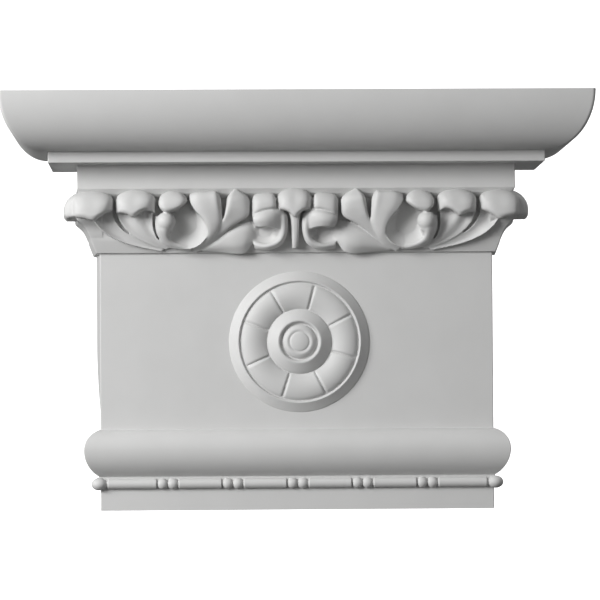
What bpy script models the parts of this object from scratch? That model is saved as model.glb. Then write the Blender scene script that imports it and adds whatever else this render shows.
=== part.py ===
"""Pilaster capital: one moulded casting with a crown, a band of leaves, a rosette and a bead-and-reel.

Metres, +Z up. The front faces -Y, the flat back that meets the wall faces +Y, and the origin is the middle
of the underside. Every moulding is a profile of (projection, height) that turns the two front corners in a
mitre.
"""
import math

import bmesh
import bpy
import numpy as np
from mathutils import Matrix, Vector

# Driving dimensions of the pilaster that the capital sits on
BODY_WIDTH = 0.228
BODY_DEPTH = 0.048

# How much further out each return stands at the wall than at the front: little at the foot and from the
# fascia up, and most from the middle of the shaft to the leaves
FOOT_SPREAD = 0.001
FULL_SPREAD = 0.0037
CROWN_SPREAD = 0.0014
SPREAD_STEPS = 5

# Heights of the courses, from the underside up
BASE_HEIGHT = 0.0122
BEAD_COURSE_HEIGHT = 0.0065
STRIP_HEIGHT = 0.0009
TORUS_HEIGHT = 0.0271
SHAFT_HEIGHT = 0.1023
BAND_HEIGHT = 0.0367
FASCIA_HEIGHT = 0.014
FILLET_HEIGHT = 0.0065
CROWN_HEIGHT = 0.0328

# Projections from the face of the pilaster
STRIP_PROJECTION = 0.0006
TORUS_PROJECTION = 0.0093
TORUS_BELLY = 0.0155
TORUS_SHOULDER_TURN = 80
FASCIA_PROJECTION = 0.0125
FASCIA_BEVEL_DEPTH = 0.0022
FASCIA_BEVEL_HEIGHT = 0.0027
FILLET_PROJECTION = 0.0284
CROWN_SEAT_STEP = 0.0026
CROWN_PROJECTION = 0.055

# Bead-and-reel, whose string has a pair of beads at every pitch and one flattened bead on each corner
BEAD_RADIUS = 0.0032
REEL_RADIUS = 0.0029
NECK_RADIUS = 0.0018
BEAD_LENGTH = 0.006
NECK_LENGTH = 0.0005
CORNER_BEAD_LENGTH = 0.0092
CORNER_BEAD_RADIUS = 0.0036
STRING_PROJECTION = 0.0008
PAIR_PITCH = 0.0376
PAIRS_ACROSS = 5
STRING_SIDES = 8

# How far the applied ornament stops short of the flat back, the shortest edge and least triangle height
# that are kept, and the angle below which two triangles count as one flat place
WALL_CLEARANCE = 0.0004
SLIVER = 0.00003
FLAT_ANGLE = math.radians(0.2)

# Rosette
ROSETTE_RADIUS = 0.041
ROSETTE_RELIEF = 0.008
ROSETTE_RISE = -0.0006
ROSETTE_ASIDE = 0.0015
PANELS = 8
PANEL_TURN = math.radians(27.5)
PANEL_GROOVE_DEPTH = 0.0012
PANEL_FRACTIONS = (0.0, 0.05, 0.35, 0.65, 0.95)
DRAWN_ROSETTE_RADIUS = 41.0
DRAWN_ROSETTE_RELIEF = 8.0

# Leaf band
LEAF_PROJECTION = 0.0205
CARVING_VOXEL = 0.0008
CARVING_TRIANGLES = 5400

# Levels worked out from the courses
BASE_TOP = BASE_HEIGHT
BEAD_TOP = BASE_TOP + BEAD_COURSE_HEIGHT
TORUS_BOTTOM = BEAD_TOP + STRIP_HEIGHT
TORUS_TOP = TORUS_BOTTOM + TORUS_HEIGHT
BAND_BOTTOM = TORUS_TOP + SHAFT_HEIGHT
BAND_TOP = BAND_BOTTOM + BAND_HEIGHT
FASCIA_TOP = BAND_TOP + FASCIA_HEIGHT
FILLET_TOP = FASCIA_TOP + FILLET_HEIGHT
CROWN_TOP = FILLET_TOP + CROWN_HEIGHT
HALF_WIDTH = BODY_WIDTH / 2
HALF_DEPTH = BODY_DEPTH / 2
SHAFT_MIDDLE = (TORUS_TOP + BAND_BOTTOM) / 2
ROSETTE_CENTRE = SHAFT_MIDDLE + ROSETTE_RISE

# The carving is drawn on a band 114 mm from centre to corner, 36.7 mm high, with noses 20.5 mm out.
# Its millimetres are shares of the band, so the leaves follow the band's own size.
# SUNK is how far out the back of each leaf lies: below zero, inside the body.
DRAWN_HALF_WIDTH = 114.0
DRAWN_BAND_HEIGHT = 36.7
DRAWN_PROJECTION = 20.5
DRAWN_DEPTH = DRAWN_HALF_WIDTH * BODY_DEPTH / HALF_WIDTH
SUNK = -2.0

# The bell behind the leaves and the plain cove under the outer heads, as (projection, height) in drawn
# millimetres
BELL = ((1.8, 0.0), (3.1, 3.2), (4.5, 6.8), (5.7, 13.6), (5.8, 31.0))
CORNER_COVE = ((3.9, 6.8), (5.6, 10.0), (7.0, 13.0), (8.6, 15.4), (10.6, 17.2), (12.4, 18.8), (13.0, 20.6),
               (13.0, 22.4))

# The carver's unevenness: the middle of the right half sits this much further left, in drawn millimetres
DRIFT = 2.2
DRIFT_CENTRE = 16.0
DRIFT_REACH = 16.0


def add_object(name, mesh, collection):
    """Put a mesh in the scene as an object."""
    thing = bpy.data.objects.new(name, mesh)
    collection.objects.link(thing)
    return thing


def mesh_from(bm, name):
    """Close a bmesh into a mesh with its faces pointing out."""
    bmesh.ops.recalc_face_normals(bm, faces=bm.faces)
    mesh = bpy.data.meshes.new(name)
    bm.to_mesh(mesh)
    bm.free()
    return mesh


def evaluated_mesh(thing):
    """The mesh an object has with its modifiers applied."""
    graph = bpy.context.evaluated_depsgraph_get()
    return bpy.data.meshes.new_from_object(thing.evaluated_get(graph))


def apply_modifiers(thing):
    """Bake an object's modifiers into its mesh."""
    mesh = evaluated_mesh(thing)
    thing.modifiers.clear()
    thing.data = mesh
    return thing


def join_solids(target, tool):
    """Boolean union of a tool into a target; the exact solver leaves open edges on these ornaments."""
    union = target.modifiers.new("union", "BOOLEAN")
    union.operation = "UNION"
    union.solver = "MANIFOLD"
    union.object = tool
    apply_modifiers(target)
    bpy.data.objects.remove(tool, do_unlink=True)
    return target


def arc(centre_out, centre_up, radius_out, radius_up, start, end, steps):
    """Points of an elliptical arc in (projection, height), angles in degrees from straight out."""
    angles = np.radians(np.linspace(start, end, steps + 1))
    return [(centre_out + radius_out * math.cos(t), centre_up + radius_up * math.sin(t)) for t in angles]


def torus_profile():
    """The torus: a long slope up to its belly, then a fuller shoulder back to the pilaster's face."""
    belly = TORUS_BOTTOM + TORUS_BELLY
    slope = TORUS_PROJECTION - STRIP_PROJECTION
    radius = (TORUS_BELLY ** 2 + slope ** 2) / (2 * slope)
    reach = math.degrees(math.asin(TORUS_BELLY / radius))
    turn = math.radians(TORUS_SHOULDER_TURN)
    across = TORUS_PROJECTION / (1 - math.cos(turn))
    upward = (TORUS_HEIGHT - TORUS_BELLY) / math.sin(turn)
    under = arc(TORUS_PROJECTION - radius, belly, radius, radius, -reach, 0, 6)
    return under + arc(TORUS_PROJECTION - across, belly, across, upward, 0, TORUS_SHOULDER_TURN, 5)[1:]


def crown_profile():
    """The crown: a quarter of an oval that swells from the fillet out to the top edge."""
    seat = FILLET_PROJECTION + CROWN_SEAT_STEP
    return arc(seat, CROWN_TOP, CROWN_PROJECTION - seat, CROWN_HEIGHT, -90, 0, 12)


def bell_profile():
    """The bell behind the leaves: a cove from the shaft, then nearly upright to the bevel under the fascia."""
    across = LEAF_PROJECTION / DRAWN_PROJECTION
    upward = BAND_HEIGHT / DRAWN_BAND_HEIGHT
    points = [(out * across, BAND_BOTTOM + up * upward) for out, up in BELL]
    return points + [(FASCIA_PROJECTION - FASCIA_BEVEL_DEPTH, BAND_TOP - FASCIA_BEVEL_HEIGHT)]


def capital_profile():
    """The whole side of the capital as (projection, height), from the underside to the top."""
    points = [(0.0, 0.0), (0.0, BASE_TOP), (STRIP_PROJECTION, BEAD_TOP)]
    points += torus_profile()
    rise = SHAFT_MIDDLE - TORUS_TOP
    points += [(0.0, TORUS_TOP + rise * (i + 1) / SPREAD_STEPS) for i in range(SPREAD_STEPS)]
    points += [(0.0, BAND_BOTTOM)]
    points += bell_profile()
    points += [(FASCIA_PROJECTION, BAND_TOP), (FASCIA_PROJECTION, FASCIA_TOP)]
    points += [(FILLET_PROJECTION, FASCIA_TOP), (FILLET_PROJECTION, FILLET_TOP)]
    points += crown_profile()
    return points


def spread(height):
    """How much further out a return stands at the wall than at the front: most at the top of the shaft."""
    if height >= BAND_TOP:
        return CROWN_SPREAD
    share = min(max((height - TORUS_TOP) / (SHAFT_MIDDLE - TORUS_TOP), 0.0), 1.0)
    return FOOT_SPREAD + (FULL_SPREAD - FOOT_SPREAD) * math.sin(share * math.pi / 2)


def course_corners(projection, height):
    """The four corners of the capital's outline at one point of the profile."""
    front = HALF_WIDTH + projection
    back = front + spread(height)
    face = -HALF_DEPTH - projection
    return [Vector((-front, face, height)), Vector((front, face, height)),
            Vector((back, HALF_DEPTH, height)), Vector((-back, HALF_DEPTH, height))]


def mitred_body(profile, collection):
    """Run the profile round the left return, the front and the right return, closed flat at the wall.

    The returns twist a little where their spread grows, so their strips are split into flat triangles.
    """
    bm = bmesh.new()
    rings = [[bm.verts.new(corner) for corner in course_corners(*point)] for point in profile]
    strips = []
    for low, high in zip(rings, rings[1:]):
        for near, far in ((3, 0), (0, 1), (1, 2)):
            strips.append(bm.faces.new((low[near], low[far], high[far], high[near])))
    bmesh.ops.triangulate(bm, faces=strips)
    bm.faces.new(rings[0])
    bm.faces.new(rings[-1])
    bm.faces.new([ring[3] for ring in rings] + [ring[2] for ring in reversed(rings)])
    return add_object("capital", mesh_from(bm, "capital"), collection)


def turned(name, profile, steps, collection):
    """A closed turned solid from (radius, height) points that run from the top down the outer side."""
    bm = bmesh.new()
    verts = [bm.verts.new((radius, 0.0, height)) for radius, height in profile]
    for first, second in zip(verts, verts[1:]):
        bm.edges.new((first, second))
    thing = add_object(name, mesh_from(bm, name), collection)
    screw = thing.modifiers.new("turn", "SCREW")
    screw.steps = steps
    screw.render_steps = steps
    screw.use_merge_vertices = True
    screw.merge_threshold = 0.00001
    return apply_modifiers(thing)


def bead(centre):
    """Profile points of one bead on a string, as (radius, place)."""
    angles = np.radians([30, 70, 110, 150])
    return [(BEAD_RADIUS * math.sin(t), centre - BEAD_LENGTH / 2 * math.cos(t)) for t in angles]


def string_profile(length, places, ends_in_bead):
    """A string along its axis, from a corner bead: a pair of beads at each place, reels between."""
    half_pair = BEAD_LENGTH + NECK_LENGTH
    reel_start = CORNER_BEAD_LENGTH / 2 + NECK_LENGTH
    points = [(0.0, 0.0), (NECK_RADIUS, 0.0), (NECK_RADIUS, reel_start - NECK_LENGTH)]
    for place in places:
        points += [(REEL_RADIUS, reel_start), (REEL_RADIUS, place - half_pair)]
        points += bead(place - BEAD_LENGTH / 2)
        points += bead(place + BEAD_LENGTH / 2)
        reel_start = place + half_pair
    if ends_in_bead:
        reel_end = length - CORNER_BEAD_LENGTH / 2 - NECK_LENGTH
        points += [(REEL_RADIUS, reel_start), (REEL_RADIUS, reel_end), (NECK_RADIUS, reel_end + NECK_LENGTH)]
        points += [(NECK_RADIUS, length), (0.0, length)]
    else:
        points += [(REEL_RADIUS, reel_start), (REEL_RADIUS, length), (0.0, length)]
    return points


def lay_string(start, end, places, ends_in_bead, collection):
    """A turned bead-and-reel string from start to end, with the pairs of beads that fit on it."""
    length = (end - start).length
    room = length - BEAD_LENGTH - NECK_LENGTH
    profile = string_profile(length, [place for place in places if place < room], ends_in_bead)
    string = turned("string", profile[::-1], STRING_SIDES, collection)
    along = (end - start).normalized()
    string.data.transform(Matrix.Translation(start) @ along.to_track_quat("Z", "X").to_matrix().to_4x4())
    return string


def corner_bead(centre, collection):
    """The flattened bead that hides a string's mitre."""
    bm = bmesh.new()
    bmesh.ops.create_uvsphere(bm, u_segments=12, v_segments=8, radius=CORNER_BEAD_LENGTH / 2)
    ball = add_object("corner_bead", mesh_from(bm, "corner_bead"), collection)
    flatten = Matrix.Diagonal((1.0, 1.0, 2 * CORNER_BEAD_RADIUS / CORNER_BEAD_LENGTH, 1.0))
    ball.data.transform(Matrix.Translation(centre) @ flatten)
    return ball


def bead_and_reel(body, collection):
    """Lay the string along the front and both returns, with one flattened bead on each corner."""
    height = BASE_TOP + BEAD_COURSE_HEIGHT / 2
    corner = HALF_WIDTH + STRING_PROJECTION
    front = -HALF_DEPTH - STRING_PROJECTION
    left, right = Vector((-corner, front, height)), Vector((corner, front, height))
    places = [corner + PAIR_PITCH * (i - (PAIRS_ACROSS - 1) / 2) for i in range(PAIRS_ACROSS)]
    join_solids(body, lay_string(left, right, places, True, collection))
    for side, turn in ((-1, left), (1, right)):
        wall = Vector((side * (corner + spread(height)), HALF_DEPTH - WALL_CLEARANCE, height))
        join_solids(body, lay_string(turn, wall, places[:1], False, collection))
        join_solids(body, corner_bead(turn, collection))


def rosette(collection):
    """The round boss on the shaft: a hub, pillowed panels with grooves between, and a sloped rim."""
    scale, relief = ROSETTE_RADIUS / DRAWN_ROSETTE_RADIUS, ROSETTE_RELIEF / DRAWN_ROSETTE_RELIEF
    button = [(0.0, 8.0), (5.1, 8.0), (5.7, 7.3), (7.2, 7.7), (9.3, 6.6), (10.4, 5.2)]
    hub = [(11.9, 7.4), (12.8, 7.4), (18.4, 3.4)]
    panel = [(19.4, 3.2), (22.0, 4.7), (26.5, 5.5), (31.0, 5.1), (33.6, 3.9)]
    rim = [(34.3, 3.3), (35.2, 4.5), (36.3, 4.2), (39.0, 2.0), (41.0, -2.0), (0.0, -2.0)]
    profile = [(radius * scale, out * relief) for radius, out in button + hub + panel + rim]
    steps = PANELS * len(PANEL_FRACTIONS)
    boss = turned("rosette", profile, steps, collection)
    inner, outer = panel[0][0] * scale, panel[-1][0] * scale
    for vert in boss.data.vertices:
        radius = math.hypot(vert.co.x, vert.co.y)
        index = round(math.atan2(vert.co.y, vert.co.x) / (2 * math.pi) * steps) % steps
        panel_number, place = divmod(index, len(PANEL_FRACTIONS))
        fraction = PANEL_FRACTIONS[place]
        angle = PANEL_TURN + (panel_number + fraction) * 2 * math.pi / PANELS
        vert.co.x = radius * math.cos(angle)
        vert.co.y = radius * math.sin(angle)
        if inner < radius < outer:
            pillow = math.sin(math.pi * fraction) ** 0.5 if fraction else 0.0
            vert.co.z += PANEL_GROOVE_DEPTH * (pillow - 1.0)
    face_out = Matrix.Rotation(math.pi / 2, 4, "X")
    boss.data.transform(Matrix.Translation((ROSETTE_ASIDE, -HALF_DEPTH, ROSETTE_CENTRE)) @ face_out)
    return boss


def smooth_rows(rows, count):
    """Rows read at even steps along the smooth curve through the given rows."""
    rows = np.array(rows, float)
    ends = np.concatenate([[2 * rows[0] - rows[1]], rows, [2 * rows[-1] - rows[-2]]])
    result = []
    for place in np.linspace(0, len(rows) - 1, count):
        i = min(int(place), len(rows) - 2)
        f = place - i
        p0, p1, p2, p3 = ends[i:i + 4]
        result.append(0.5 * (2 * p1 + (p2 - p0) * f + (2 * p0 - 5 * p1 + 4 * p2 - p3) * f ** 2
                             + (3 * p1 - p0 - 3 * p2 + p3) * f ** 3))
    return np.array(result)


def closed_grid(front, back):
    """A closed bmesh between two like grids of points, the front one and the one behind it."""
    bm = bmesh.new()
    rows, columns = len(front), len(front[0])
    near = [[bm.verts.new(point) for point in row] for row in front]
    far = [[bm.verts.new(point) for point in row] for row in back]
    for i in range(rows - 1):
        for j in range(columns - 1):
            bm.faces.new((near[i][j], near[i][j + 1], near[i + 1][j + 1], near[i + 1][j]))
            bm.faces.new((far[i][j], far[i + 1][j], far[i + 1][j + 1], far[i][j + 1]))
    border = [(i, 0) for i in range(rows)] + [(rows - 1, j) for j in range(1, columns)]
    border += [(i, columns - 1) for i in range(rows - 2, -1, -1)]
    border += [(0, j) for j in range(columns - 2, 0, -1)]
    for (i, j), (k, m) in zip(border, border[1:] + border[:1]):
        bm.faces.new((near[i][j], near[k][m], far[k][m], far[i][j]))
    bmesh.ops.recalc_face_normals(bm, faces=bm.faces)
    return bm


def sheet(curves, along=24, across=13):
    """A leaf's face lofted across like curves, closed behind.

    Each curve is a list of (a, out, up) in drawn millimetres: the distance from the middle of the front, the
    projection and the height over the band's foot.
    """
    lines = [smooth_rows(curve, along) for curve in curves]
    grid = smooth_rows(lines, across)
    front = [[(a, -out, up) for a, out, up in line] for line in grid]
    behind = [[(a, -SUNK, up) for a, out, up in line] for line in grid]
    return closed_grid(front, behind)


def head(crest, lower, nose, edge=9.0, top=10.6):
    """The curled-over head of a lobe, which rolls out from the bell to its nose and tucks back under.

    crest and lower are its top and bottom outlines as (a, up). nose is the projection of its middle and
    edge that of its two sides, where it rounds back into the slits.
    """
    even = (np.sin(np.radians(np.linspace(-90, 90, 21))) + 1) / 2
    crown, hem = [smooth_rows(line, 101)[np.round(even * 100).astype(int)] for line in (crest, lower)]
    front, behind = [], []
    for s in np.linspace(0, 1, 14):
        v = s ** 1.6
        t = min(1.0, v / 0.62)
        roll = math.sqrt(t * (2 - t))
        tuck = 1.8 * max(0.0, (v - 0.84) / 0.16) ** 2
        line, rear = [], []
        for u, high, low in zip(np.sin(np.radians(np.linspace(-90, 90, 21))), crown, hem):
            crosswise = math.sqrt(max(0.0, 1 - abs(u) ** 3.6))
            out = edge + (top + (nose - top) * roll - tuck - edge) * crosswise
            a, up = high + (low - high) * v
            line.append((a, -out, up))
            rear.append((a, -SUNK, up))
        front.append(line)
        behind.append(rear)
    return closed_grid(front, behind)


def egg(centre, radii):
    """An ellipsoid, as a bmesh in drawn millimetres, from (a, out, up) and its three radii."""
    bm = bmesh.new()
    a, out, up = centre
    place = Matrix.Translation((a, -out, up)) @ Matrix.Diagonal((*radii, 1.0))
    bmesh.ops.create_uvsphere(bm, u_segments=20, v_segments=12, radius=1.0, matrix=place)
    return bm


def bowl(centre, radii, rim_rows, floor, deepest=(0.0, 0.0)):
    """A hollow with a rim: centre (a, up), radii, (degrees, rim projection) rows, and its floor's shift."""
    degrees, levels = zip(*rim_rows)
    sides, pinhole = 36, 0.004
    front, behind = [], []
    for t in np.linspace(pinhole, 1.0, 12):
        line, rear = [], []
        for i in range(sides + 1):
            turn = 360 * i / sides
            rim = float(np.interp(turn, degrees, levels))
            a = centre[0] + deepest[0] * (1 - t) + t * radii[0] * math.cos(math.radians(turn))
            up = centre[1] + deepest[1] * (1 - t) + t * radii[1] * math.sin(math.radians(turn))
            line.append((a, -(floor + (rim - floor) * t ** 2.2), up))
            rear.append((a, -SUNK, up))
        front.append(line)
        behind.append(rear)
    bm = closed_grid(front, behind)
    bmesh.ops.remove_doubles(bm, verts=bm.verts, dist=0.0005)
    return bm


def corner_heads():
    """The two curled heads of the big leaf beside the volute."""
    first_head = head([(129.2, 31.0), (127.2, 33.2), (122.6, 34.9), (117.0, 35.4), (111.4, 34.8), (107.2, 33.0),
                       (105.7, 30.6)],
                      [(129.2, 21.6), (126.6, 20.4), (121.8, 19.6), (117.2, 18.4), (113.8, 20.4), (109.8, 22.8),
                       (105.7, 24.2)], 20.6, 8.0)
    second_head = head([(104.3, 30.4), (102.4, 33.4), (98.0, 35.4), (93.0, 36.2), (87.2, 35.4), (83.0, 33.4),
                        (81.3, 30.8)],
                       [(104.0, 22.6), (100.6, 22.8), (97.2, 21.8), (94.0, 20.5), (90.2, 23.2), (86.0, 24.5),
                        (81.5, 22.6)], 20.2)
    return [first_head, second_head]


def corner_blades():
    """The two hollow blades under the big leaf's heads, which part in a slit and run into one stem."""
    ridge = [(118.0, 13.4, 20.0), (115.2, 12.8, 16.2), (112.0, 11.6, 12.8), (107.4, 10.0, 9.4),
             (100.0, 8.2, 6.0), (90.0, 6.2, 3.2), (78.0, 4.6, 0.8)]
    first = sheet([ridge,
                   [(114.8, 10.4, 21.0), (112.4, 10.0, 17.2), (109.0, 9.1, 13.8), (104.6, 7.9, 10.4),
                    (97.8, 6.8, 7.0), (88.6, 5.6, 4.0), (77.4, 4.4, 1.6)],
                   [(110.8, 9.2, 22.4), (109.1, 9.0, 18.8), (106.4, 8.4, 15.4), (102.3, 7.7, 12.0),
                    (95.6, 7.0, 8.2), (87.0, 5.9, 4.8), (76.6, 4.6, 2.2)],
                   [(106.5, 10.2, 24.0), (105.5, 10.0, 20.4), (103.3, 9.6, 16.6), (99.8, 8.8, 12.8),
                    (93.2, 7.6, 8.8), (85.4, 6.2, 5.2), (76.0, 4.7, 2.6)]])
    second = sheet([[(103.7, 11.4, 23.6), (102.7, 11.2, 19.6), (100.4, 10.6, 15.8), (97.0, 9.6, 12.0),
                     (91.0, 8.0, 7.8), (83.6, 6.4, 4.4), (75.0, 4.8, 2.0)],
                    [(99.4, 9.4, 23.6), (98.4, 9.7, 19.4), (96.0, 9.6, 15.6), (92.8, 8.9, 12.0),
                     (88.0, 7.7, 8.2), (82.1, 6.3, 5.0), (74.6, 4.8, 2.4)],
                    [(94.0, 11.8, 22.0), (92.9, 11.6, 19.0), (90.8, 10.9, 15.8), (88.4, 9.9, 12.4),
                     (85.0, 8.4, 8.6), (80.2, 6.8, 5.2), (73.8, 5.0, 2.6)],
                    [(88.0, 9.4, 25.0), (87.4, 9.8, 20.4), (86.3, 9.6, 16.4), (84.8, 9.0, 12.6),
                     (82.0, 7.8, 8.8), (78.4, 6.5, 5.4), (72.6, 5.0, 2.8)],
                    [(82.9, 12.0, 24.0), (83.1, 11.8, 19.4), (82.9, 11.1, 15.2), (81.9, 10.0, 11.2),
                     (79.8, 8.6, 7.4), (75.9, 6.9, 4.4), (70.0, 5.2, 2.0)]])
    return [first, second]


def volute():
    """The open scroll: a bowl, the eye that curls up in it, and its wall round below."""
    hollow = bowl((63.4, 13.6), (12.6, 11.6), [(0, 9.6), (45, 6.4), (90, 5.4), (120, 7.6), (150, 12.6),
                                               (180, 14.0), (225, 11.2), (270, 8.2), (315, 8.6), (360, 9.6)],
                  4.6, (-1.4, 3.6))
    wall = sheet([[(81.2, 10.6, 21.4), (81.6, 11.4, 17.6), (81.3, 11.4, 13.6), (80.1, 10.4, 9.7),
                   (77.3, 9.2, 6.0), (72.7, 8.0, 3.4), (66.8, 6.9, 1.7), (60.8, 6.2, 1.4)],
                  [(79.8, 12.6, 20.8), (80.1, 14.6, 17.4), (79.8, 15.0, 13.5), (78.5, 13.7, 10.0),
                   (76.0, 11.7, 6.8), (71.9, 9.7, 4.5), (66.6, 8.4, 3.0), (61.2, 7.6, 2.8)],
                  [(76.4, 12.8, 19.0), (76.2, 16.4, 15.8), (75.8, 16.9, 13.2), (75.3, 15.2, 10.5),
                   (74.0, 12.4, 7.8), (71.0, 9.9, 5.6), (66.3, 8.4, 4.1), (61.4, 7.5, 3.8)],
                  [(74.4, 10.6, 17.6), (72.3, 13.6, 14.8), (71.7, 14.4, 12.6), (72.8, 12.2, 10.5),
                   (73.1, 9.8, 8.2), (70.4, 8.2, 6.4), (66.0, 7.4, 4.9), (61.6, 6.8, 4.6)]])
    eye = egg((75.3, 12.6, 17.6), (5.6, 6.6, 5.6))
    return [hollow, wall, eye]


def volute_head():
    """The rolled top of the scroll."""
    return head([(79.9, 29.4), (78.0, 33.0), (74.6, 34.9), (71.0, 35.4), (67.0, 34.8), (64.0, 32.6), (62.8, 29.8)],
               [(79.8, 27.6), (78.2, 24.8), (75.6, 23.2), (72.6, 23.4), (68.8, 24.8), (65.4, 27.0),
                (62.8, 29.2)], 19.2)


def corner_cove(inner, fade):
    """The plain cove under the outer heads, from the mitre to a place where it has faded by a share."""
    along_mitre = [(DRAWN_HALF_WIDTH + out, out, up) for out, up in CORNER_COVE]
    at_inner = [(inner, out * (1 - fade), up) for out, up in CORNER_COVE]
    middle = [tuple((p + q) / 2 for p, q in zip(first, last)) for first, last in zip(along_mitre, at_inner)]
    return sheet([along_mitre, middle, at_inner])


def fan_leaf():
    """The leaf between volute and hook: a wide bract, a pointed bract, and the low blade under them."""
    wide = sheet([[(61.6, 10.6, 33.4), (61.6, 13.8, 32.0), (61.2, 15.6, 28.8), (58.6, 16.0, 24.2),
                   (54.6, 15.6, 19.6), (52.0, 14.6, 14.6), (51.8, 12.6, 9.8), (55.0, 9.4, 5.9), (60.4, 6.8, 3.2)],
                  [(57.2, 11.0, 35.0), (57.2, 15.6, 33.8), (56.8, 17.2, 30.2), (54.8, 17.4, 25.4),
                   (51.8, 16.6, 20.6), (49.6, 15.2, 15.2), (49.6, 12.8, 9.8), (53.6, 9.0, 5.2), (60.0, 6.2, 2.4)],
                  [(50.8, 11.0, 35.3), (50.6, 15.8, 34.2), (50.2, 17.4, 31.0), (48.8, 17.4, 26.0),
                   (46.9, 16.4, 20.8), (45.9, 14.6, 15.4), (47.5, 11.7, 9.6), (52.6, 8.0, 4.6), (59.6, 5.6, 1.8)],
                  [(46.8, 11.0, 35.4), (46.6, 15.8, 34.4), (46.2, 17.4, 31.2), (45.6, 17.2, 26.4),
                   (44.5, 15.8, 21.2), (43.8, 13.6, 16.0), (46.6, 10.5, 9.6), (51.8, 7.2, 4.2), (59.2, 5.0, 1.4)],
                  [(45.8, 10.4, 35.0), (44.9, 12.6, 33.8), (43.7, 14.2, 30.8), (43.3, 14.6, 26.2),
                   (43.0, 14.0, 21.2), (43.0, 12.4, 16.2), (46.2, 9.8, 9.4), (51.4, 6.8, 4.0), (59.0, 4.8, 1.2)]])
    pointed = sheet([[(35.8, 10.4, 36.6), (39.6, 13.4, 32.0), (40.5, 14.6, 27.0), (41.4, 14.2, 22.0),
                      (43.0, 12.6, 17.6), (47.4, 10.0, 11.0), (52.6, 7.0, 5.0), (58.8, 4.8, 1.2)],
                     [(35.3, 12.0, 36.8), (38.2, 16.8, 32.0), (39.0, 17.2, 27.0), (40.2, 16.0, 21.8),
                      (42.6, 13.6, 17.2), (46.8, 10.7, 10.6), (52.2, 7.4, 4.8), (58.6, 4.9, 1.0)],
                     [(34.9, 12.0, 36.9), (34.6, 17.0, 31.4), (34.6, 16.8, 26.0), (36.4, 15.2, 21.0),
                      (40.2, 13.2, 16.4), (45.8, 10.4, 10.4), (51.8, 7.2, 4.4), (58.4, 4.7, 0.8)],
                     [(34.5, 12.0, 36.7), (30.6, 15.8, 31.4), (29.8, 15.8, 25.8), (31.0, 14.2, 20.6),
                      (38.0, 12.6, 15.8), (44.8, 9.8, 9.8), (51.2, 6.6, 4.0), (58.2, 4.5, 0.6)],
                     [(34.1, 10.4, 36.4), (27.8, 13.4, 31.6), (27.2, 13.8, 25.8), (28.4, 12.8, 20.4),
                      (36.8, 11.4, 15.2), (44.2, 8.8, 9.2), (50.8, 6.0, 3.6), (58.0, 4.2, 0.4)]])
    low = sheet([[(55.0, 4.6, 2.8), (49.2, 5.6, 6.2), (42.8, 6.6, 10.8), (36.8, 7.2, 14.6), (31.4, 7.2, 17.2),
                  (27.6, 6.6, 18.4), (24.2, 5.8, 17.6)],
                 [(54.8, 5.2, 2.3), (49.0, 7.0, 5.0), (42.6, 8.6, 8.8), (36.6, 9.4, 11.9), (31.0, 9.2, 14.2),
                  (27.0, 8.3, 15.0), (23.6, 6.2, 14.2)],
                 [(54.6, 5.2, 1.7), (48.6, 7.2, 3.6), (42.0, 9.0, 6.2), (36.0, 10.0, 8.2), (30.6, 9.8, 9.8),
                  (26.6, 8.4, 10.6), (23.2, 6.0, 10.4)],
                 [(54.4, 4.8, 1.2), (48.2, 6.2, 2.1), (41.4, 7.8, 3.0), (35.6, 8.9, 3.4), (30.6, 8.9, 4.2),
                  (26.8, 7.8, 6.2), (23.6, 6.2, 7.6)],
                 [(54.2, 4.0, 0.8), (48.0, 4.0, 0.6), (41.0, 4.4, -0.2), (35.4, 5.2, -0.8), (31.2, 5.6, -0.6),
                  (28.2, 5.8, 1.0), (25.6, 6.0, 4.8)]])
    return [wide, pointed, low]


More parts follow.
